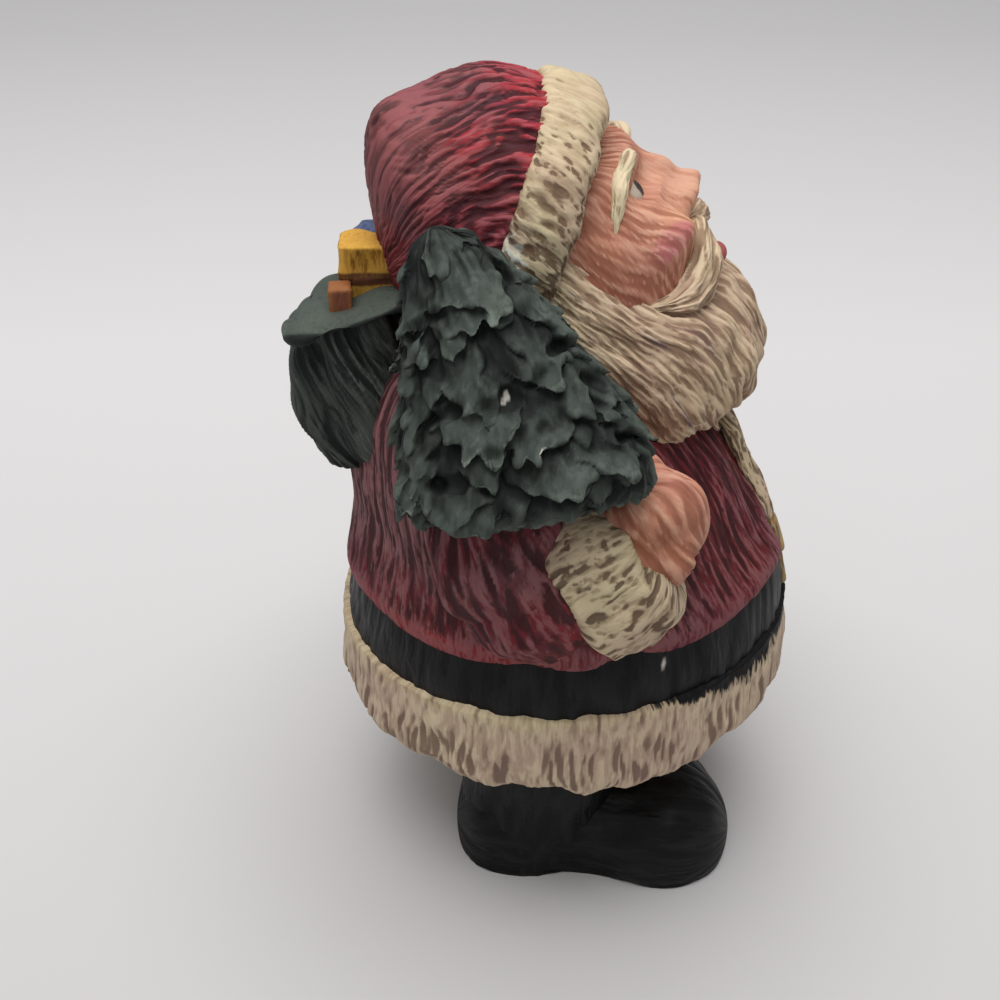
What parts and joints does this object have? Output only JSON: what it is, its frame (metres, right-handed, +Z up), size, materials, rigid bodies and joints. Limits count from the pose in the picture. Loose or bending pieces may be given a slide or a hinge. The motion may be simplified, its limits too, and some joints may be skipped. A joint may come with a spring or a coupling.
{
  "type": "santa figurine",
  "caption": "Standing Santa figurine of cast resin, carved look and painted, looking up, with a fir tree on one shoulder and a sack of presents on the back.",
  "frame": {"origin": "on the ground between the two boots, on the underside of the resin web that joins them", "axes": "+Z up, -Y the way the figure faces, -X towards its own right hand and the tree"},
  "size_m": [0.0806, 0.0729, 0.1194],
  "materials": {
    "painted_resin": "cast resin, painted matt by area in deep red, cream, black, dark green and skin, with a brown wash in the grooves and pale dry-brushing on the ridges"
  },
  "bodies": {
    "root": {"santa_figurine": "painted_resin"}
  },
  "joints": []
}
